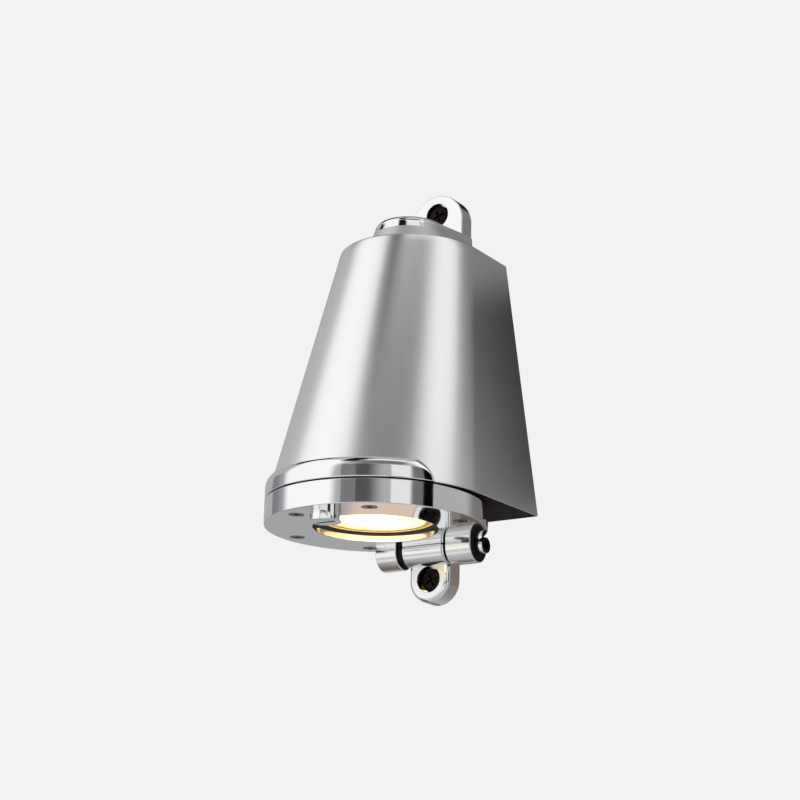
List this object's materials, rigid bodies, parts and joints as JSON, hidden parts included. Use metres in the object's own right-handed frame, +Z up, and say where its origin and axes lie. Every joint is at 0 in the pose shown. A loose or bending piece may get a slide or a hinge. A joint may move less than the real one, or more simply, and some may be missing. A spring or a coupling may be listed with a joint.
{
  "type": "wall light",
  "caption": "Downward wall light with a tapered round-fronted metal housing, a hinged round lens lid held by a lock screw, and an upper and a lower fixing lug.",
  "frame": {"origin": "on the wall plane, midway between the two wall screw holes", "axes": "X along the wall to the viewer's right, Y into the wall, Z up"},
  "size_m": [0.1084, 0.109, 0.2098],
  "materials": {
    "satin_metal": "satin, finely brushed",
    "polished_metal": "mirror polished",
    "screw_steel": "plain bright",
    "black_rubber": "matte",
    "black_nylon": "matte",
    "lens_glass": "clear",
    "lamp_shell": "gloss white",
    "lamp_light": "frosted, lit",
    "contact_brass": "plain",
    "white_ceramic": "matte",
    "bracket_steel": "zinc plated",
    "cream_plastic": "matte",
    "brown_sleeve": "matte",
    "blue_sleeve": "matte",
    "green_sleeve": "matte"
  },
  "bodies": {
    "housing": {"body_shell": "satin_metal", "back_plate": "polished_metal", "plate_screws": "screw_steel", "top_cap": "polished_metal", "cap_screws": "screw_steel", "hinge_pin": "polished_metal", "hinge_spacer": "black_nylon", "hinge_washer": "polished_metal", "lampholder": "white_ceramic", "holder_screws": "screw_steel", "lamp_bracket": "bracket_steel", "bracket_screws": "screw_steel", "terminal_block": "cream_plastic", "terminal_screws": "contact_brass", "terminal_fixings": "screw_steel", "live_lead": "brown_sleeve", "neutral_lead": "blue_sleeve", "earth_lead": "green_sleeve", "earth_screw": "contact_brass", "earth_tag": "contact_brass", "cable_grommet": "black_rubber"},
    "lid": {"lid_ring": "polished_metal", "lens_gasket": "black_rubber", "lens_glass": "lens_glass", "clamp_ring": "satin_metal", "clamp_screws": "screw_steel", "lid_seal": "black_rubber"},
    "lock_ring": {"lock_collar": "screw_steel"},
    "lock_knob": {"lock_screw": "polished_metal"},
    "lamp": {"lamp_body": "lamp_shell", "lamp_front": "lamp_light", "lamp_pins": "contact_brass"}
  },
  "joints": [
    {"name": "lid_hinge", "type": "hinge", "parent": "housing", "child": "lid", "pos_m": [0, -0.0102, -0.0804], "axis": [1, 0, 0], "range_deg": [0, 92]},
    {"name": "lock_travel", "type": "slide", "parent": "lid", "child": "lock_ring", "axis": [0, 0, 1], "range_m": [-0.0055, 0]},
    {"name": "lock_turn", "type": "hinge", "parent": "lock_ring", "child": "lock_knob", "pos_m": [0, -0.0974, -0.0786], "axis": [0, 0, 1], "range_deg": [-2828.57, 0]},
    {"name": "lamp_turn", "type": "hinge", "parent": "housing", "child": "lamp", "pos_m": [0, -0.057, -0.04], "axis": [0, 0, 1], "range_deg": [0, 25]}
  ],
  "couplings": [
    {"joint": "lock_travel", "follows": "lock_turn", "m_per_rad": 0.00011141}
  ]
}
